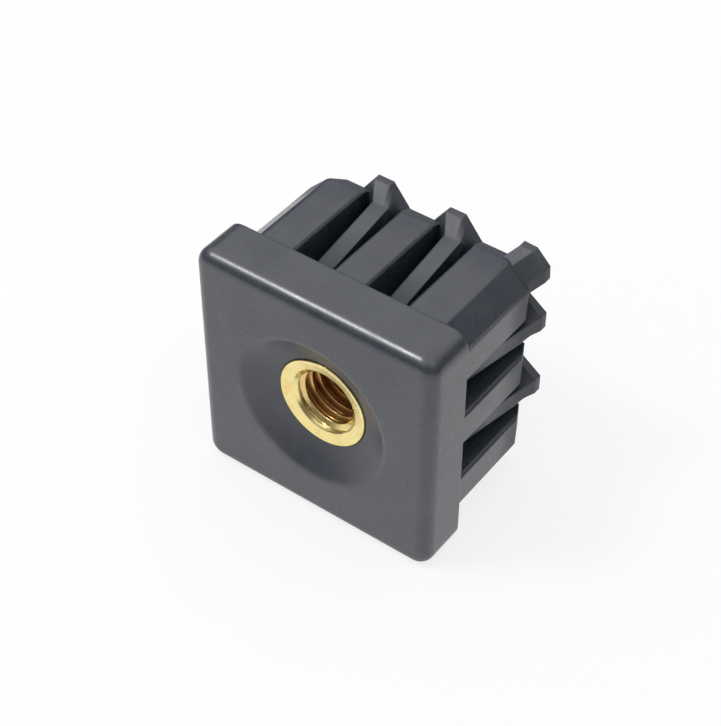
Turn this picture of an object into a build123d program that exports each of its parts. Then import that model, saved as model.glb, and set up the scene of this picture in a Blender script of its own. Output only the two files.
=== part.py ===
"""Square tube end cap with a moulded-in threaded bush.

A black moulded plug closes the end of a 30 mm square tube. Its head covers the tube's cut
edge, its ribbed shank slides into the tube, and the barbs at the shank's far end bend inwards
and grip the walls. A brass bush with an M8 thread sits in the middle of the head.

Axes, in millimetres: the thread's axis is Y, the head's front face looks along -Y, the shank
points along +Y, and +Z is up. The origin lies on the thread's axis, in the plane where the
head seats on the end of the tube.
"""
from build123d import *
from math import cos, radians, sin, sqrt
import os

# The tube that the plug closes
tube_width = 30.0
tube_wall = 0.8

# Head
head_depth = 6.3
head_corner_radius = 2.0
front_edge_radius = 1.5
seat_edge_chamfer = 0.35
dish_radius = 9.3
dish_curvature = 16.0
dish_rim_radius = 1.2

# Shank
pad_clearance = 0.1
shank_length = 14.0
lead_in_length = 2.0
lead_in_drop = 1.0
corner_facet_share = 0.09
middle_pad_share = 0.14
slot_share = 0.167
pad_edge_chamfer = 0.3

# Barbs, one in each slot and one on each of two opposite corners
barb_overhang = 0.9
barb_reach = 0.8
barb_tip_depth = 0.9
barb_rise_length = 1.9
barb_side_gap = 0.3
crest_width = 2.0
wing_reach = 1.7
wing_drop = 2.3
slope_drop = 3.0
tongue_width = 2.0
tongue_level_length = 2.5
tongue_sink = 2.2
tongue_rise_sink = 0.5
corner_rise_length = 2.2
corner_tip_cut = 1.3
corner_flare = 0.45
quarter_turn = 90
half_turn = 2 * quarter_turn
full_turn = 4 * quarter_turn
first_corner = quarter_turn / 2
root_overlap = 0.6
pad_overlap = 0.3

# Bush and its thread, M8
thread_diameter = 8.0
thread_pitch = 1.25
bush_wall = 1.5
bush_length = 12.0
bush_sink = 1.8
mouth_clearance = 0.4
groove_width = 1.6
groove_depth = 0.7
groove_count = 2
screw_clearance = 0.5

# The thread's minor diameter lies below its major one by this many pitches
minor_per_pitch = 1.0825

# Edges of a length or radius are told from others within this
tolerance = 0.01

# Sizes that follow
body_width = tube_width - 2 * tube_wall - 2 * pad_clearance
half_body = body_width / 2
front = -head_depth
tip_half = tube_width / 2 - tube_wall + barb_reach - pad_clearance
corner_facet = corner_facet_share * tube_width
middle_pad_width = middle_pad_share * tube_width
slot_width = slot_share * tube_width
slot_depth = slot_width
slot_centre = middle_pad_width / 2 + slot_width / 2
slot_floor = half_body - slot_depth
lead_in_start = shank_length - lead_in_length
barb_end = shank_length + barb_overhang
barb_crest = barb_end - barb_tip_depth
rise_start = barb_crest - barb_rise_length
bush_front = front + bush_sink
bush_back = bush_front + bush_length
bush_radius = thread_diameter / 2 + bush_wall
bore_radius = (thread_diameter - minor_per_pitch * thread_pitch) / 2
mouth_radius = thread_diameter / 2 + mouth_clearance
mouth_depth = mouth_radius - bore_radius
clearance_radius = thread_diameter / 2 + screw_clearance
groove_pitch = bush_length / (groove_count + 1)
barb_half = slot_width / 2 - barb_side_gap
barb_root = slot_floor - root_overlap
dish_sagitta = dish_curvature - sqrt(dish_curvature**2 - dish_radius**2)
facet_width = corner_facet * sqrt(2)
corner_reach = (2 * half_body - corner_facet) / sqrt(2)
corner_tip = tip_half * sqrt(2) - corner_tip_cut


def section(depth, turn=0.0):
    """Plane across the thread's axis at a depth; turn is in degrees, clockwise seen from the front."""
    across = (cos(radians(turn)), 0, -sin(radians(turn)))
    return Plane(origin=(0, depth, 0), x_dir=across, z_dir=(0, -1, 0))


def bush_outline():
    """Half outline of the bush's outside as points of radius and depth, with its retaining grooves."""
    points = [(0, bush_front), (bush_radius, bush_front)]
    for index in range(groove_count):
        middle = bush_front + groove_pitch * (index + 1)
        floor = bush_radius - groove_depth
        points += [
            (bush_radius, middle - groove_width / 2),
            (floor, middle - groove_width / 2),
            (floor, middle + groove_width / 2),
            (bush_radius, middle + groove_width / 2),
        ]
    return points + [(bush_radius, bush_back), (0, bush_back)]


def level_outline(half, low, top):
    """Section with a level top, as points across a side and outwards from the thread's axis."""
    return [(-half, low), (-half, top), (-half / 2, top), (half / 2, top), (half, top), (half, low)]


def barb_outline():
    """Section of a slot's barb at its crest: a wing joined to the pad, the level tip, a slope to the gap."""
    return [
        (-slot_width / 2 - pad_overlap, barb_root),
        (-barb_half - wing_reach, tip_half - wing_drop),
        (-barb_half, tip_half),
        (-barb_half + crest_width, tip_half),
        (barb_half, tip_half - slope_drop),
        (barb_half, barb_root),
    ]


def corner_barb_outline():
    """Section of a corner barb at its crest, which fills most of the tube's corner."""
    half = facet_width / 2 + corner_flare
    shoulder = tip_half * sqrt(2) - half
    low = corner_reach - 2 * root_overlap
    return [
        (-facet_width / 2, low),
        (-half, shoulder),
        (-half / 2, corner_tip),
        (half / 2, corner_tip),
        (half, shoulder),
        (facet_width / 2, low),
    ]


def placed(depth, turn, points, offset=0.0):
    """Closed face through the points, moved sideways, in one section."""
    with BuildSketch(section(depth, turn)) as outline:
        with BuildLine():
            Polyline(*[(across + offset, out) for across, out in points], close=True)
        make_face()
    return outline.sketch


# Plug: head, ribbed shank and barbs, moulded in one piece
with BuildPart() as plug_body:
    # Head with rounded corners
    with BuildSketch(section(0)):
        RectangleRounded(tube_width, tube_width, head_corner_radius)
    extrude(amount=head_depth)
    front_edges = plug_body.faces().sort_by(Axis.Y)[0].edges()
    fillet(front_edges, front_edge_radius)
    seat_edges = plug_body.faces().sort_by(Axis.Y)[-1].edges()
    chamfer(seat_edges, seat_edge_chamfer)

    # Shank: a block with cut corners and a tapered lead-in at its end
    with BuildSketch(section(-root_overlap)) as block_section:
        Rectangle(body_width, body_width)
        chamfer(block_section.vertices(), corner_facet)
    extrude(amount=-(lead_in_start + root_overlap))
    with BuildSketch(section(lead_in_start)) as lead_in_wide:
        Rectangle(body_width, body_width)
        chamfer(lead_in_wide.vertices(), corner_facet)
    with BuildSketch(section(shank_length)) as lead_in_narrow:
        Rectangle(body_width - 2 * lead_in_drop, body_width - 2 * lead_in_drop)
        chamfer(lead_in_narrow.vertices(), corner_facet)
    loft()

    # Two slots along each side leave a middle pad and two outer pads
    with BuildSketch(section(0)):
        with PolarLocations(0, 4):
            with Locations((-slot_centre, half_body), (slot_centre, half_body)):
                Rectangle(slot_width, 2 * slot_depth)
    extrude(amount=-shank_length, mode=Mode.SUBTRACT)
    pad_edges = (
        plug_body.edges()
        .filter_by(Axis.Y)
        .filter_by(lambda edge: abs(edge.length - lead_in_start) < tolerance)
        .filter_by(lambda edge: max(abs(edge.center().X), abs(edge.center().Z)) > half_body - tolerance)
    )
    chamfer(pad_edges, pad_edge_chamfer)

    # A barb in each slot: a tongue climbs from the slot's floor and widens into the gripping crest.
    # Going clockwise round the shank as seen from the front, each has its wing first, then its slope.
    tongue = level_outline(tongue_width / 2, barb_root, half_body - tongue_sink)
    raised_tongue = level_outline(tongue_width / 2, barb_root, half_body - tongue_rise_sink)
    for turn in range(0, full_turn, quarter_turn):
        for offset in (-slot_centre, slot_centre):
            climb = placed(tongue_level_length, turn, tongue, offset)
            rise = placed(rise_start, turn, raised_tongue, offset)
            crest = placed(barb_crest, turn, barb_outline(), offset)
            extrude(climb, amount=tongue_level_length + root_overlap)
            loft(sections=[climb, rise], ruled=True)
            loft(sections=[rise, crest], ruled=True)
            extrude(crest, amount=-barb_tip_depth)

    # A broader barb on two opposite cut corners, which rises from just under the corner's facet
    corner_rise = corner_tip - corner_reach + root_overlap
    corner_root = [(across, out - corner_rise) for across, out in corner_barb_outline()]
    for turn in (first_corner, first_corner + half_turn):
        start = placed(barb_crest - corner_rise_length, turn, corner_root)
        crest = placed(barb_crest, turn, corner_barb_outline())
        loft(sections=[start, crest], ruled=True)
        extrude(crest, amount=-barb_tip_depth)

    # Shallow dish in the head's face, its rim softened
    with BuildSketch(Plane.XY):
        with BuildLine():
            Line((0, front), (dish_radius, front))
            RadiusArc((dish_radius, front), (0, front + dish_sagitta), -dish_curvature)
            Line((0, front + dish_sagitta), (0, front))
        make_face()
    revolve(axis=Axis.Y, mode=Mode.SUBTRACT)
    dish_rim = (
        plug_body.edges()
        .filter_by(GeomType.CIRCLE)
        .filter_by(lambda edge: abs(edge.radius - dish_radius) < tolerance)
    )
    fillet(dish_rim, dish_rim_radius)

    # Flat land and cavity for the bush, and the screw's way through to the back
    with BuildSketch(Plane.XY):
        with BuildLine():
            Polyline(*bush_outline(), close=True)
        make_face()
    revolve(axis=Axis.Y, mode=Mode.SUBTRACT)
    with BuildSketch(section(bush_back)):
        Circle(clearance_radius)
    extrude(amount=-(barb_end - bush_back), mode=Mode.SUBTRACT)

# Brass bush with retaining grooves outside and the thread's bore inside
with BuildPart() as threaded_bush:
    with BuildSketch(Plane.XY):
        with BuildLine():
            Polyline(*bush_outline(), close=True)
        make_face()
    revolve(axis=Axis.Y)
    with BuildSketch(Plane.XY):
        with BuildLine():
            Polyline(
                (0, bush_front),
                (mouth_radius, bush_front),
                (bore_radius, bush_front + mouth_depth),
                (bore_radius, bush_back - mouth_depth),
                (mouth_radius, bush_back),
                (0, bush_back),
                close=True,
            )
        make_face()
    revolve(axis=Axis.Y, mode=Mode.SUBTRACT)

os.makedirs("parts", exist_ok=True)
plug_body.part.label = "plug_body"
threaded_bush.part.label = "threaded_bush"
export_step(plug_body.part, "parts/plug_body.step")
export_step(threaded_bush.part, "parts/threaded_bush.step")
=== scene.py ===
"""Looks of the square tube end cap: a black moulded plug with a threaded brass bush.

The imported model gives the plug's body, which is dressed in moulded plastic. The bush is built
here with its real M8 thread and stands for the plain bush of the model. The thread's axis is Y,
and a depth is a place along it, counted from the seat on the tube's end towards the shank. Sizes
are in millimetres in the classes and in metres in the meshes.
"""
from __future__ import annotations

import logging
from dataclasses import dataclass
from enum import Enum
from math import pi, radians

import bpy
import numpy as np
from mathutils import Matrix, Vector


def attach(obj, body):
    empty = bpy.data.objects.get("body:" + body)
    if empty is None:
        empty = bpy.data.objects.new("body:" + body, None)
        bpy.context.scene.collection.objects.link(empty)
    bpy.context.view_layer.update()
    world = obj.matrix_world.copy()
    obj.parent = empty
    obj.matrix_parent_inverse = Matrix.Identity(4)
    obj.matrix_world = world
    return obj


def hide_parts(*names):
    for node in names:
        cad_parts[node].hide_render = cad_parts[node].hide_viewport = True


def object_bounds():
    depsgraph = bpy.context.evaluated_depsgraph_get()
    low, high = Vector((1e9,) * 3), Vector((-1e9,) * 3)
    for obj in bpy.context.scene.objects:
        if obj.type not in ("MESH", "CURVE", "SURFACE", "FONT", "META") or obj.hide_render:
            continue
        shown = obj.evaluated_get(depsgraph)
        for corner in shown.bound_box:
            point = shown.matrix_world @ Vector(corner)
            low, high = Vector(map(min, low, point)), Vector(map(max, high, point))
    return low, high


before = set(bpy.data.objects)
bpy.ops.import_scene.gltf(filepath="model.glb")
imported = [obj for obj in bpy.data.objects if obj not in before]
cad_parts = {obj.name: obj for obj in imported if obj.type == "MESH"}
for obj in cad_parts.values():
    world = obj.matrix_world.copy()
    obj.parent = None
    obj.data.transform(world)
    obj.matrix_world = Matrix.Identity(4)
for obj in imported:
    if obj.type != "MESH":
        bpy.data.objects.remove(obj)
cad_low, cad_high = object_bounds()

MM = 0.001
WHITE = (1.0, 1.0, 1.0, 1.0)
NOISE_MEAN = 0.5
UNSTRETCHED = (1.0, 1.0, 1.0)
log = logging.getLogger("tube_end_cap")


class Node(Enum):
    """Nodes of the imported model."""

    PLUG = "plug_body"
    BUSH = "threaded_bush"


class Slot(Enum):
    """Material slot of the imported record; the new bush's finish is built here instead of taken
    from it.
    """

    BRASS = "brass"


class Maths(Enum):
    """Operations of a Math node that the finishes use."""

    ADD = "ADD"
    SUBTRACT = "SUBTRACT"
    MULTIPLY = "MULTIPLY"
    POWER = "POWER"
    MAXIMUM = "MAXIMUM"
    ABSOLUTE = "ABSOLUTE"


class VectorMaths(Enum):
    """Operations of a Vector Math node that the finishes use."""

    DOT_PRODUCT = "DOT_PRODUCT"
    LENGTH = "LENGTH"


@dataclass(frozen=True)
class Fade:
    """A range of a value, and the range that it is carried to smoothly and held at its ends."""

    low: float
    high: float
    to_low: float = 0.0
    to_high: float = 1.0


@dataclass(frozen=True)
class Pattern:
    """Noise, by the size of its patches, its finer octaves, their strength and its stretch.

    The size is in millimetres. The stretch scales the coordinates by axis, so a pattern is longer
    along an axis where it is under 1.
    """

    size: float
    detail: float = 2.0
    roughness: float = 0.5
    stretch: tuple = UNSTRETCHED


class Signal:
    """A node's output that takes part in Python arithmetic.

    Each operator adds one Math node to the signal's own graph. The reflected forms let a
    number stand on the left, as in 1 - mask.
    """

    def __init__(self, graph: Graph, node: bpy.types.Node, output: int | str = 0) -> None:
        """Wraps one output of a node.

        Args:
            graph: The graph that the node belongs to.
            node: The node.
            output: Index or name of its output.
        """
        self.graph = graph
        self.node = node
        self.socket = node.outputs[output]

    def other(self, output: int | str) -> Signal:
        """Another output of the same node."""
        return Signal(self.graph, self.node, output)

    def _math(self, operation: Maths, left: Signal | float, right: Signal | float) -> Signal:
        """One Math node on two operands."""
        return self.graph.add("ShaderNodeMath", {"operation": operation.value}, {0: left, 1: right})

    def __add__(self, value: Signal | float) -> Signal:
        """This signal plus a value."""
        return self._math(Maths.ADD, self, value)

    def __radd__(self, value: float) -> Signal:
        """A value plus this signal."""
        return self._math(Maths.ADD, value, self)

    def __sub__(self, value: Signal | float) -> Signal:
        """This signal less a value."""
        return self._math(Maths.SUBTRACT, self, value)

    def __rsub__(self, value: float) -> Signal:
        """A value less this signal."""
        return self._math(Maths.SUBTRACT, value, self)

    def __mul__(self, value: Signal | float) -> Signal:
        """This signal times a value."""
        return self._math(Maths.MULTIPLY, self, value)

    def __rmul__(self, value: float) -> Signal:
        """A value times this signal."""
        return self._math(Maths.MULTIPLY, value, self)

    def __pow__(self, value: Signal | float) -> Signal:
        """This signal to a power."""
        return self._math(Maths.POWER, self, value)

    def __abs__(self) -> Signal:
        """This signal without its sign."""
        return self._math(Maths.ABSOLUTE, self, 0.0)

    def larger(self, value: Signal | float) -> Signal:
        """The larger of this signal and a value."""
        return self._math(Maths.MAXIMUM, self, value)


class Graph:
    """Node tree of one material or of the world, emptied and filled by one method."""

    def __init__(self, tree: bpy.types.NodeTree) -> None:
        """Empties a node tree.

        Args:
            tree: The tree to fill.
        """
        self.tree = tree
        tree.nodes.clear()

    def add(
        self,
        kind: str,
        settings: dict[str, object] | None = None,
        inputs: dict[int | str, object] | None = None,
        output: int | str = 0,
    ) -> Signal | None:
        """Adds a node, makes its settings first, then fills or links its inputs.

        Args:
            kind: The node's type.
            settings: Values of the node's own attributes by name.
            inputs: Values or signals by the input's index or name.
            output: Index or name of the output to return.

        Returns:
            The chosen output as a signal, or None from a node that has no output.
        """
        node = self.tree.nodes.new(kind)
        for name, value in (settings or {}).items():
            setattr(node, name, value)
        for name, value in (inputs or {}).items():
            if isinstance(value, Signal):
                self.tree.links.new(value.socket, node.inputs[name])
            else:
                node.inputs[name].default_value = value
        if not node.outputs:
            return None
        return Signal(self, node, output)

    def coordinates(self) -> Signal:
        """The piece's own coordinates in metres."""
        return self.add("ShaderNodeTexCoord", output="Object")

    def split(self, place: Signal) -> tuple[Signal, Signal, Signal]:
        """The X, Y and Z of a place."""
        x = self.add("ShaderNodeSeparateXYZ", inputs={0: place})
        return x, x.other(1), x.other(2)

    def measure(self, operation: VectorMaths, *vectors: Signal | tuple) -> Signal:
        """The number that an operation gives for its vectors."""
        settings = {"operation": operation.value}
        return self.add("ShaderNodeVectorMath", settings, dict(enumerate(vectors)), "Value")

    def noise(self, place: Signal, pattern: Pattern) -> Signal:
        """Noise over the piece's coordinates.

        Args:
            place: The coordinates.
            pattern: The pattern.

        Returns:
            The noise's value, from 0 to 1.
        """
        if pattern.stretch != UNSTRETCHED:
            inputs = {"Vector": place, "Scale": pattern.stretch}
            place = self.add("ShaderNodeMapping", inputs=inputs)
        return self._noise("3D", "Vector", place, pattern)

    def line_noise(self, distance: Signal, pattern: Pattern) -> Signal:
        """Noise from 0 to 1 along one distance, as in rings."""
        return self._noise("1D", "W", distance, pattern)

    def _noise(self, dimensions: str, socket: str, value: Signal, pattern: Pattern) -> Signal:
        """Noise in a number of dimensions, without the pattern's stretch.

        Args:
            dimensions: How many, as the node names them.
            socket: Name of the input that takes the value.
            value: Coordinates or a distance, in metres.
            pattern: The pattern.

        Returns:
            The noise's value, from 0 to 1.
        """
        inputs = {
            socket: value,
            "Scale": 1 / (pattern.size * MM),
            "Detail": pattern.detail,
            "Roughness": pattern.roughness,
        }
        return self.add("ShaderNodeTexNoise", {"noise_dimensions": dimensions}, inputs, "Fac")

    def fade(self, value: Signal, fade: Fade, unit: float = 1.0) -> Signal:
        """A value carried smoothly from a fade's first range to its second.

        Args:
            value: The value.
            fade: The two ranges.
            unit: What one unit of the first range measures, such as MM for a value in metres.

        Returns:
            The carried value, held at the second range's ends.
        """
        inputs = {
            "Value": value,
            "From Min": fade.low * unit,
            "From Max": fade.high * unit,
            "To Min": fade.to_low,
            "To Max": fade.to_high,
        }
        settings = {"interpolation_type": "SMOOTHSTEP", "clamp": True}
        return self.add("ShaderNodeMapRange", settings, inputs, "Result")

    def blend(self, share: Signal, first: Signal | tuple, second: Signal | tuple) -> Signal:
        """Colour that goes from the first to the second as the share goes from 0 to 1."""
        colours = {"Factor": share, 6: first, 7: second}
        return self.add("ShaderNodeMix", {"data_type": "RGBA"}, colours, 2)

    def openness(self, reach: float, samples: int = 8) -> Signal:
        """1 on an open face and less down in a recess, as far as a reach in millimetres."""
        return self.add(
            "ShaderNodeAmbientOcclusion", {"samples": samples}, {"Distance": reach * MM}, "AO"
        )

    def background_ray(self) -> Signal:
        """1 where the background shows: to the camera, in a reflection and through glass."""
        path = self.add("ShaderNodeLightPath", output="Is Camera Ray")
        return path + path.other("Is Glossy Ray") + path.other("Is Transmission Ray")


def axis_distance(across: Signal, up: Signal) -> Signal:
    """Distance from the thread's axis: the root of the sum of the two squares."""
    return (across * across + up * up) ** 0.5


def new_material(name: str) -> tuple[bpy.types.Material, Graph]:
    """An empty node material.

    Args:
        name: Its name.

    Returns:
        The material and its graph.
    """
    material = bpy.data.materials.new(name)
    material.use_nodes = True
    return material, Graph(material.node_tree)


@dataclass(frozen=True)
class MouldedPlastic:
    """Black polyamide from a fine spark-eroded mould, with edges polished by handling.

    Glossy plastic covers the head and the pads. A matte one in a darker colour, which is painted
    shade,
    is mixed in where little light reaches: in recesses, and down in the slots near the head.
    """

    name: str = "black_moulded_plastic"
    colour: tuple = (0.031, 0.036, 0.051, 1.0)
    pale_colour: tuple = (0.046, 0.051, 0.065, 1.0)
    edge_colour: tuple = (0.105, 0.110, 0.122, 1.0)
    # painted shade: the darker colour of the matte plastic in recesses and slots
    painted_shade_colour: tuple = (0.012, 0.028, 0.029, 1.0)
    roughness: float = 0.28
    refraction: float = 1.7
    recess_roughness: float = 0.55
    recess_refraction: float = 1.45

    # Patterns
    cloud: Pattern = Pattern(7.0, 3.0, 0.55)
    mottle: Pattern = Pattern(1.6, 4.0, 0.6)
    grain: Pattern = Pattern(0.16, 2.0, 0.6)
    peel: Pattern = Pattern(0.42, 3.0, 0.55)
    ripple: Pattern = Pattern(3.2, 1.0)
    streak: Pattern = Pattern(0.9, 3.0, stretch=(1.0, 0.12, 1.0))
    scuff: Pattern = Pattern(0.55, 5.0, 0.65, (1.0, 0.35, 1.0))

    # Colour: how much of its tone is cloud, and where edges and scuffs are pale
    cloud_share: float = 0.7
    tone_fade: Fade = Fade(0.36, 0.64)
    edge_radius: float = 0.28
    edge_samples: int = 6
    wear_fade: Fade = Fade(0.012, 0.16)
    wear_patches: Fade = Fade(0.3, 0.6, 0.35, 1.0)
    wear_tint: float = 0.65
    scuff_fade: Fade = Fade(0.64, 0.74, 0.0, 0.45)
    scuff_patches: Fade = Fade(0.45, 0.6, 0.2, 1.0)

    # Painted shade in recesses: the reach within which openness counts, and the most of the darker
    # matte plastic
    painted_shade_reach: float = 3.5
    painted_shade_fade: Fade = Fade(0.25, 0.8, 1.0, 0.0)
    painted_shade_share: float = 0.9

    # Places in millimetres: depths, the dish's radius, and levels out from the axis
    dull_fade: Fade = Fade(7.5, 12.0)
    # The slot and corner fades place the painted shade down in the slots
    slot_start: Fade = Fade(0.0, 0.3)
    slot_end: Fade = Fade(2.5, 10.5, 1.0, 0.0)
    dish_fade: Fade = Fade(8.7, 9.8, 1.0, 0.0)
    slot_fade: Fade = Fade(11.9, 13.4, 0.75, 0.0)
    corner_fade: Fade = Fade(22.0, 24.0, 1.0, 0.0)

    # What each adds to the roughness
    mottle_gloss: float = 0.16
    streak_gloss: float = 0.10
    wear_gloss: float = -0.05
    dull_gloss: float = 0.26
    dish_gloss: float = 0.10
    scuff_gloss: float = 0.3

    # Heights of the relief in millimetres
    grain_depth: float = 0.007
    scuff_depth: float = 0.004
    peel_depth: float = 0.022
    peel_share: float = 0.15
    ripple_depth: float = 0.02

    def build(self) -> bpy.types.Material:
        """Makes the material.

        Returns:
            The finished material.
        """
        material, graph = new_material(self.name)
        place = graph.coordinates()
        across, along, up = graph.split(place)
        cloud = graph.noise(place, self.cloud)
        mottle = graph.noise(place, self.mottle)
        streak = graph.noise(place, self.streak)
        scuff = graph.fade(graph.noise(place, self.scuff), self.scuff_fade)
        scuff = scuff * graph.fade(cloud, self.scuff_patches)
        dull = graph.fade(along, self.dull_fade, MM)
        dish = graph.fade(axis_distance(across, up), self.dish_fade, MM)
        soft = graph.add(
            "ShaderNodeBevel", {"samples": self.edge_samples}, {"Radius": self.edge_radius * MM}
        )
        worn = self._wear(graph, soft, mottle)

        tone = cloud * self.cloud_share + mottle * (1 - self.cloud_share)
        body = graph.blend(graph.fade(tone, self.tone_fade), self.colour, self.pale_colour)
        body = graph.blend(scuff, body, self.edge_colour)
        body = graph.blend(worn * self.wear_tint, body, self.edge_colour)
        gloss = self.roughness + (mottle - NOISE_MEAN) * self.mottle_gloss
        gloss = gloss + (streak - NOISE_MEAN) * self.streak_gloss + worn * self.wear_gloss
        gloss = gloss + dull * self.dull_gloss + dish * self.dish_gloss + scuff * self.scuff_gloss
        relief = self._relief(graph, place, soft, dull, scuff)

        open_shader = graph.add(
            "ShaderNodeBsdfPrincipled",
            inputs={
                "Base Color": body,
                "Roughness": gloss,
                "Normal": relief,
                "IOR": self.refraction,
            },
        )
        painted_shade_shader = graph.add(
            "ShaderNodeBsdfPrincipled",
            inputs={
                "Base Color": self.painted_shade_colour,
                "Roughness": self.recess_roughness,
                "Normal": relief,
                "IOR": self.recess_refraction,
            },
        )
        # painted shade: the darker matte plastic is mixed in where shade falls
        share = self._painted_shade(graph, across, along, up) * self.painted_shade_share
        both = graph.add("ShaderNodeMixShader", inputs={0: share, 1: open_shader, 2: painted_shade_shader})
        graph.add("ShaderNodeOutputMaterial", inputs={"Surface": both})
        return material

    def _wear(self, graph: Graph, soft: Signal, mottle: Signal) -> Signal:
        """Where edges are rubbed pale.

        An edge is where the softened normal leaves the face's own: 1 less their dot product. The
        mottle breaks it up.

        Args:
            graph: The material's graph.
            soft: The softened normal.
            mottle: The mottle's noise.

        Returns:
            The wear, from 0 to 1.
        """
        facing = graph.add("ShaderNodeNewGeometry", output="Normal")
        straight = graph.measure(VectorMaths.DOT_PRODUCT, soft, facing)
        return graph.fade(1 - straight, self.wear_fade) * graph.fade(mottle, self.wear_patches)

    def _painted_shade(self, graph: Graph, across: Signal, along: Signal, up: Signal) -> Signal:
        """Where shade is painted, as a share of the darker matte plastic.

        One share of the painted shade comes from how open the surface is. The other paints shade in
        the
        slots: under the pads' level, from the head to the barbs, and not on the cut corners, where
        the two distances from the axis add up to more. The two are joined as 1 less the product of
        what each leaves.

        Args:
            graph: The material's graph.
            across: X of the place.
            along: Y of the place.
            up: Z of the place.

        Returns:
            The painted shade, from 0 to 1.
        """
        level = abs(across).larger(abs(up))
        shank = graph.fade(along, self.slot_start, MM) * graph.fade(along, self.slot_end, MM)
        corners = graph.fade(abs(across) + abs(up), self.corner_fade, MM)
        # painted shade in the slots, then joined with painted shade in closed-in places
        slot_shade = graph.fade(level, self.slot_fade, MM) * shank * corners
        shaded = graph.fade(graph.openness(self.painted_shade_reach), self.painted_shade_fade)
        return 1 - (1 - shaded) * (1 - slot_shade)

    def _relief(
        self, graph: Graph, place: Signal, soft: Signal, dull: Signal, scuff: Signal
    ) -> Signal:
        """Normal of the fine relief: grain, ripple and orange peel, rubbed down by scuffs.

        Args:
            graph: The material's graph.
            place: The piece's coordinates.
            soft: The softened normal that it stands on.
            dull: Share of the duller end, where the peel is stronger.
            scuff: Share of the scuffs.

        Returns:
            The normal.
        """
        grain = graph.noise(place, self.grain) * self.grain_depth
        ripple = graph.noise(place, self.ripple) * self.ripple_depth
        peel = graph.noise(place, self.peel) * (self.peel_share + dull) * self.peel_depth
        height = grain + ripple - scuff * self.scuff_depth + peel
        return graph.add(
            "ShaderNodeBump",
            inputs={"Strength": 1.0, "Distance": MM, "Height": height, "Normal": soft},
        )


@dataclass(frozen=True)
class TurnedBrass:
    """Bright brass turned on a lathe, with brown painted shade down in the thread."""

    name: str = "bright_turned_brass"
    colour: tuple = (0.93, 0.80, 0.36, 1.0)
    warm_colour: tuple = (0.88, 0.68, 0.29, 1.0)
    # painted shade: the brown that the bore and the thread's grooves are carried to
    shade_brown: tuple = (0.60, 0.27, 0.075, 1.0)
    roughness: float = 0.24

    # Patterns
    rings: Pattern = Pattern(0.11, 3.0, 0.7)
    patches: Pattern = Pattern(1.7, 4.0, 0.6)
    specks: Pattern = Pattern(0.25)

    # Colour, and the brown painted shade in the bore, whose depths are in millimetres
    warm_fade: Fade = Fade(0.35, 0.7)
    thread_reach: float = 1.6
    shade_fade: Fade = Fade(0.08, 0.52, 0.7, 0.0)
    mouth_fade: Fade = Fade(-4.0, -2.2, 0.0, 0.72)
    deep_fade: Fade = Fade(-2.2, 0.8, 0.0, 0.28)
    back_fade: Fade = Fade(6.1, 7.2, 1.0, 0.25)
    bore_shade_patches: Fade = Fade(0.2, 0.6, 0.7, 1.0)
    bore_shade_share: float = 0.9

    # What each adds to the roughness
    ring_gloss: float = 0.22
    speck_gloss: float = 0.08
    bore_shade_gloss: float = 0.14

    # Heights of the relief in millimetres
    ring_depth: float = 0.004
    speck_depth: float = 0.002

    def build(self) -> bpy.types.Material:
        """Makes the material.

        Returns:
            The finished material.
        """
        material, graph = new_material(self.name)
        place = graph.coordinates()
        across, along, up = graph.split(place)
        rings = graph.line_noise(axis_distance(across, up) + along, self.rings)
        patches = graph.noise(place, self.patches)
        specks = graph.noise(place, self.specks)
        bore_shade = self._bore_shade(graph, along, patches)

        metal = graph.blend(graph.fade(patches, self.warm_fade), self.colour, self.warm_colour)
        # painted shade: brown in the thread's grooves and deeper in the bore
        metal = graph.blend(bore_shade * self.bore_shade_share, metal, self.shade_brown)
        gloss = self.roughness + (rings - NOISE_MEAN) * self.ring_gloss
        gloss = gloss + (specks - NOISE_MEAN) * self.speck_gloss + bore_shade * self.bore_shade_gloss
        height = rings * self.ring_depth + specks * self.speck_depth
        relief = graph.add(
            "ShaderNodeBump", inputs={"Strength": 1.0, "Distance": MM, "Height": height}
        )
        shader = graph.add(
            "ShaderNodeBsdfPrincipled",
            inputs={"Base Color": metal, "Roughness": gloss, "Normal": relief, "Metallic": 1.0},
        )
        graph.add("ShaderNodeOutputMaterial", inputs={"Surface": shader})
        return material

    def _bore_shade(self, graph: Graph, along: Signal, patches: Signal) -> Signal:
        """Where brown shade is painted on the brass.

        The painted shade deepens from the front mouth inwards and clears again at the back mouth.
        The thread's shaded grooves get it too: the shade is joined with the depth's share of what
        the shade leaves.

        Args:
            graph: The material's graph.
            along: Y of the place.
            patches: The patches' noise, which breaks it up.

        Returns:
            The painted shade, from 0 to 1.
        """
        shade = graph.fade(graph.openness(self.thread_reach), self.shade_fade)
        inside = graph.fade(along, self.mouth_fade, MM) + graph.fade(along, self.deep_fade, MM)
        inside = inside * graph.fade(along, self.back_fade, MM)
        return (shade + inside * (1 - shade)) * graph.fade(patches, self.bore_shade_patches)


@dataclass(frozen=True)
class PaleFloorFinish:
    """Matte white floor, eased towards plain white where it is seen so that its shadow stays soft.

    The fade gives the share of plain white by the distance in millimetres. Away from the plug it
    is all white, so the floor's edge doesn't show.
    """

    name: str = "pale_floor"
    colour: tuple = (0.90, 0.90, 0.90, 1.0)
    white_fade: Fade = Fade(55.0, 125.0, 0.8, 1.0)

    def build(self) -> bpy.types.Material:
        """Makes the material.

        Returns:
            The finished material.
        """
        material, graph = new_material(self.name)
        distance = graph.measure(VectorMaths.LENGTH, graph.coordinates())
        share = graph.background_ray() * graph.fade(distance, self.white_fade, MM)
        matte = graph.add("ShaderNodeBsdfDiffuse", inputs={"Color": self.colour})
        white = graph.add("ShaderNodeEmission", inputs={"Color": WHITE, "Strength": 1.0})
        both = graph.add("ShaderNodeMixShader", inputs={0: share, 1: matte, 2: white})
        graph.add("ShaderNodeOutputMaterial", inputs={"Surface": both})
        return material


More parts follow.
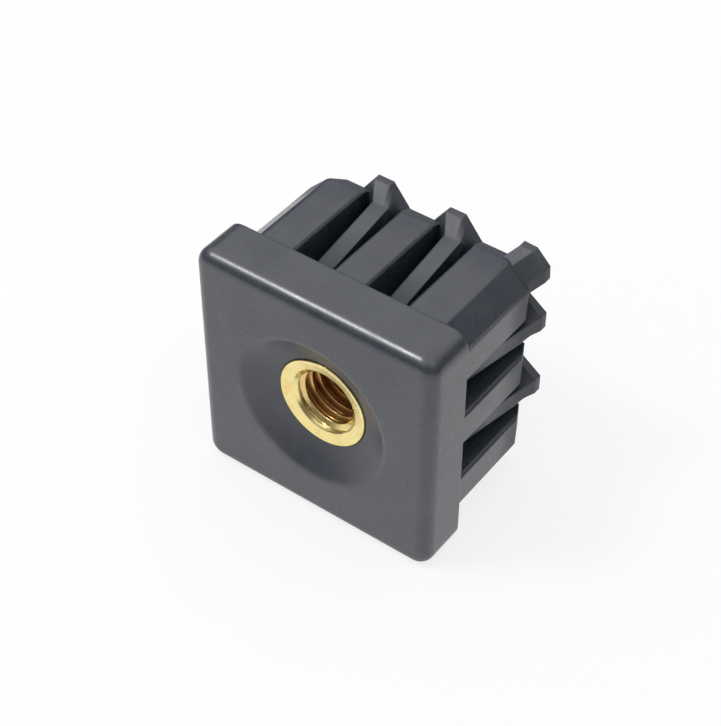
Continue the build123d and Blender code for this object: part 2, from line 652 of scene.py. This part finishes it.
@dataclass(frozen=True)
class DimWallFinish:
    """Grey screen round the table, which thins out towards its top and lets the light in above.

    It is taller on one side: the added height goes by how far a place lies towards that side, in
    shares of the wall's radius.
    """

    name: str = "dim_wall"
    colour: tuple = (0.24, 0.24, 0.24, 1.0)
    top_fade: Fade = Fade(262.0, 556.0, 1.0, 0.0)
    tall_side: tuple = (0.55, -0.835, 0.0)
    tall_fade: Fade = Fade(0.90, 0.98, 0.0, 300.0)

    def build(self, radius: float) -> bpy.types.Material:
        """Makes the material.

        Args:
            radius: The wall's radius in millimetres.

        Returns:
            The finished material.
        """
        material, graph = new_material(self.name)
        place = graph.coordinates()
        height = graph.split(place)[2]
        side = graph.measure(VectorMaths.DOT_PRODUCT, place, self.tall_side)
        height = height - graph.fade(side, self.tall_fade, radius * MM) * MM
        share = graph.fade(height, self.top_fade, MM)
        matte = graph.add("ShaderNodeBsdfDiffuse", inputs={"Color": self.colour})
        clear = graph.add("ShaderNodeBsdfTransparent")
        both = graph.add("ShaderNodeMixShader", inputs={0: share, 1: clear, 2: matte})
        graph.add("ShaderNodeOutputMaterial", inputs={"Surface": both})
        return material


def grid_faces(rows: int, columns: int, close_rows: bool, close_columns: bool) -> np.ndarray:
    """Four-cornered faces that join a grid of points, numbered row by row.

    Point (i, j) joins points (i, j + 1), (i + 1, j + 1) and (i + 1, j). Where a side is closed,
    its last points join its first. A face points along the direction of rising j crossed with
    that of rising i.

    Args:
        rows: Number of rows.
        columns: Number of columns.
        close_rows: True if the last row joins the first.
        close_columns: True if the last column joins the first.

    Returns:
        Array of shape (faces, 4) with the points' numbers.
    """
    row_steps = rows if close_rows else rows - 1
    column_steps = columns if close_columns else columns - 1
    i, j = np.meshgrid(np.arange(row_steps), np.arange(column_steps), indexing="ij")
    here, below = i * columns, (i + 1) % rows * columns
    beside = (j + 1) % columns
    corners = [here + j, here + beside, below + beside, below + j]
    return np.stack(corners, axis=-1).reshape(-1, 4)


def add_object(
    name: str, points: np.ndarray, faces: np.ndarray, material: bpy.types.Material
) -> bpy.types.Object:
    """Object at the origin with one mesh and one material, linked to the scene.

    Args:
        name: Name of the object and of its mesh.
        points: The points in millimetres, in an array whose last side has a length of 3.
        faces: Array of shape (faces, 4) with the points' numbers.
        material: The material.

    Returns:
        The object, flat shaded.
    """
    mesh = bpy.data.meshes.new(name)
    mesh.from_pydata(points.reshape(-1, 3) * MM, [], faces)
    mesh.materials.append(material)
    mesh.update()
    piece = bpy.data.objects.new(name, mesh)
    bpy.context.scene.collection.objects.link(piece)
    return piece


@dataclass
class ThreadedBush:
    """Brass bush with retaining grooves outside and an M8 thread inside."""

    outer_radius: float = 5.5
    front: float = -4.5
    length: float = 12.0
    thread_radius: float = 4.0
    pitch: float = 1.25
    bore_radius: float = 3.3234
    rim_radius: float = 5.25
    seat_radius: float = 4.1
    rim_slope: float = 0.27
    edge_break: float = 0.12
    groove_width: float = 1.6
    groove_depth: float = 0.7
    groove_count: int = 2
    columns: int = 144
    bore_rows: int = 300
    edge_rows: int = 9
    ring_rows: int = 3
    finish: TurnedBrass = TurnedBrass()

    @property
    def back(self) -> float:
        """Depth of the bush's back face."""
        return self.front + self.length

    def thread_wall(self, turn: np.ndarray, depth: np.ndarray) -> np.ndarray:
        """Radius of the bore's wall.

        The phase is the depth in pitches less the turn in full turns. Over one pitch the wall
        stays on the crest for a quarter, climbs a straight flank for five sixteenths, stays in
        the root for an eighth and comes back down. A countersink at each end cuts it away in two
        cones: a shallow one from the rim to the seat, then one at 45 degrees. The wall is the
        largest of the thread's radius and the two cones' at the same depth.

        Args:
            turn: Angles in radians.
            depth: Depths in millimetres, of the same shape.

        Returns:
            Radii in millimetres.
        """
        crest_share, flank_share = 1 / 4, 5 / 16
        phase = (depth / self.pitch - turn / (2 * pi)) % 1.0
        away = np.abs(phase - 0.5) * 2
        rise = np.clip((1 - crest_share - away) / (2 * flank_share), 0.0, 1.0)
        thread = self.bore_radius + (self.thread_radius - self.bore_radius) * rise
        nearest_end = np.minimum(depth - self.front, self.back - depth)
        shallow = self.rim_radius - nearest_end / self.rim_slope
        seat_depth = (self.rim_radius - self.seat_radius) * self.rim_slope
        steep = self.seat_radius + seat_depth - nearest_end
        return np.maximum(thread, np.maximum(shallow, steep))

    def outside_profile(self) -> np.ndarray:
        """Outline of the outside, from the front rim over the grooves to the back rim.

        Each end has a flat ring and a quarter round at its edge, and the back's is the front's
        mirrored about the middle of the length. The grooves' middles divide the length evenly,
        and each groove steps down to its floor and up again.

        Returns:
            Array of shape (points, 2) with radii and depths in millimetres.
        """
        broken = self.edge_break
        corner = np.linspace(0.0, pi / 2, self.edge_rows)
        round_radii = self.outer_radius - broken + broken * np.sin(corner)
        round_depths = self.front + broken - broken * np.cos(corner)
        ring_radii = np.linspace(
            self.rim_radius, self.outer_radius - broken, self.ring_rows, endpoint=False
        )[1:]
        ring_depths = np.full_like(ring_radii, self.front)
        radii = np.concatenate([ring_radii, round_radii])
        depths = np.concatenate([ring_depths, round_depths])
        front_end = np.column_stack([radii, depths])
        back_end = np.column_stack([radii, self.front + self.back - depths])[::-1]

        steps = np.arange(1, self.groove_count + 1) / (self.groove_count + 1)
        half = self.groove_width / 2
        edges = self.front + self.length * steps[:, None] + np.array([-half, -half, half, half])
        floor = self.outer_radius - self.groove_depth
        groove_radii = np.tile(
            [self.outer_radius, floor, floor, self.outer_radius], self.groove_count
        )
        grooves = np.column_stack([groove_radii, edges.reshape(-1)])
        return np.vstack([front_end, grooves, back_end])

    def build(self) -> bpy.types.Object:
        """Builds the bush as one closed surface and puts it in the node's place.

        The surface is a grid of a turn about the Y axis by a way round the section: along the
        outside at fixed radii, then back through the bore along the thread's wall. A point is
        (r sin a, depth, r cos a) for the radius r and the turn a.

        Returns:
            The finished piece, smooth shaded.
        """
        turn = np.linspace(0.0, 2 * pi, self.columns, endpoint=False)
        outside = self.outside_profile()
        bore_depths = np.linspace(self.back, self.front, self.bore_rows)
        depths = np.concatenate([outside[:, 1], bore_depths])
        turns, along = np.meshgrid(turn, depths)
        radii = np.repeat(outside[:, :1], self.columns, axis=1)
        bore = slice(len(outside), None)
        radii = np.vstack([radii, self.thread_wall(turns[bore], along[bore])])
        points = np.stack([radii * np.sin(turns), along, radii * np.cos(turns)], axis=-1)
        faces = grid_faces(*radii.shape, close_rows=True, close_columns=True)
        piece = add_object("brass_bush_m8", points, faces, self.finish.build())
        piece.data.shade_smooth()
        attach(piece, "root")
        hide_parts(Node.BUSH.value)
        return piece


@dataclass
class PlugBody:
    """The moulded plug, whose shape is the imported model's own."""

    finish: MouldedPlastic = MouldedPlastic()

    def dress(self) -> bpy.types.Object:
        """Gives the plug its finish.

        Returns:
            The dressed node.
        """
        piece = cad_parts[Node.PLUG.value]
        material = self.finish.build()
        for holder in piece.material_slots:
            holder.material = material
        return piece


@dataclass
class Studio:
    """Pale floor, dim screen, soft light and a camera at the photograph's viewing angle.

    Angles are in degrees.
    """

    floor_size: float = 300.0
    floor_points: int = 9
    wall_radius: float = 600.0
    wall_low: float = -150.0
    wall_high: float = 900.0
    wall_rows: int = 9
    wall_columns: int = 96
    sky_light: float = 1.15
    lamp_place: tuple = (-147.0, -133.0, 300.0)
    lamp_size: float = 80.0
    lamp_watts: float = 0.45
    camera_place: tuple = (81.39, -108.59, 133.54)
    camera_turn: tuple = (45.995, -0.116, 36.375)
    camera_near: float = 10.0
    lens: float = 89.86
    sensor: float = 36.0
    floor_finish: PaleFloorFinish = PaleFloorFinish()
    wall_finish: DimWallFinish = DimWallFinish()

    def build(self) -> None:
        """Builds the studio."""
        self._floor()
        self._wall()
        self._world()
        self._lamp()
        self._camera()

    def _floor(self) -> None:
        """A flat square that the plug lies on, as a grid of points at one height."""
        side = np.linspace(-self.floor_size / 2, self.floor_size / 2, self.floor_points)
        x, y = np.meshgrid(side, side)
        points = np.stack([x, y, np.full_like(x, cad_low.z / MM)], axis=-1)
        faces = grid_faces(*x.shape, close_rows=False, close_columns=False)
        floor = add_object("floor", points, faces, self.floor_finish.build())

    def _wall(self) -> None:
        """Screen round the table: a cylinder about the Z axis that the camera doesn't see.

        A point is (R cos a, R sin a, z) for the radius R, the angle a and the height z. The angle
        falls from point to point, so that the faces look inwards.
        """
        angle = np.linspace(2 * pi, 0.0, self.wall_columns, endpoint=False)
        height = np.linspace(self.wall_low, self.wall_high, self.wall_rows)
        turns, levels = np.meshgrid(angle, height)
        x, y = self.wall_radius * np.cos(turns), self.wall_radius * np.sin(turns)
        points = np.stack([x, y, levels], axis=-1)
        faces = grid_faces(*x.shape, close_rows=False, close_columns=True)
        wall = add_object("wall", points, faces, self.wall_finish.build(self.wall_radius))
        wall.visible_camera = False

    def _world(self) -> None:
        """Plain white light from all round."""
        world = bpy.data.worlds.new("soft_studio")
        world.use_nodes = True
        bpy.context.scene.world = world
        graph = Graph(world.node_tree)
        light = graph.add(
            "ShaderNodeBackground", inputs={"Color": WHITE, "Strength": self.sky_light}
        )
        graph.add("ShaderNodeOutputWorld", inputs={"Surface": light})

    def _lamp(self) -> None:
        """A square soft lamp that faces the plug, which the camera doesn't see."""
        data = bpy.data.lights.new("window_light", "AREA")
        data.shape = "SQUARE"
        data.size = self.lamp_size * MM
        data.energy = self.lamp_watts
        lamp = bpy.data.objects.new(data.name, data)
        lamp.location = Vector(self.lamp_place) * MM
        lamp.rotation_euler = (-lamp.location).to_track_quat("-Z", "Y").to_euler()
        lamp.visible_camera = False
        bpy.context.scene.collection.objects.link(lamp)

    def _camera(self) -> None:
        """The camera, its lens set for the photograph's width."""
        data = bpy.data.cameras.new("camera")
        data.sensor_fit = "HORIZONTAL"
        data.sensor_width = self.sensor
        data.lens = self.lens
        data.clip_start = self.camera_near * MM
        camera = bpy.data.objects.new("camera", data)
        camera.location = Vector(self.camera_place) * MM
        camera.rotation_euler = [radians(value) for value in self.camera_turn]
        bpy.context.scene.collection.objects.link(camera)
        bpy.context.scene.camera = camera


def main() -> None:
    """Builds the studio and the pieces."""
    logging.basicConfig(level=logging.INFO, format="%(name)s: %(message)s")
    bpy.context.scene.view_settings.view_transform = "Standard"
    Studio().build()
    plug = PlugBody().dress()
    log.info("%s: %d faces", plug.name, len(plug.data.polygons))
    bush = ThreadedBush().build()
    log.info("%s: %d faces", bush.name, len(bush.data.polygons))


if __name__ == "__main__":
    main()
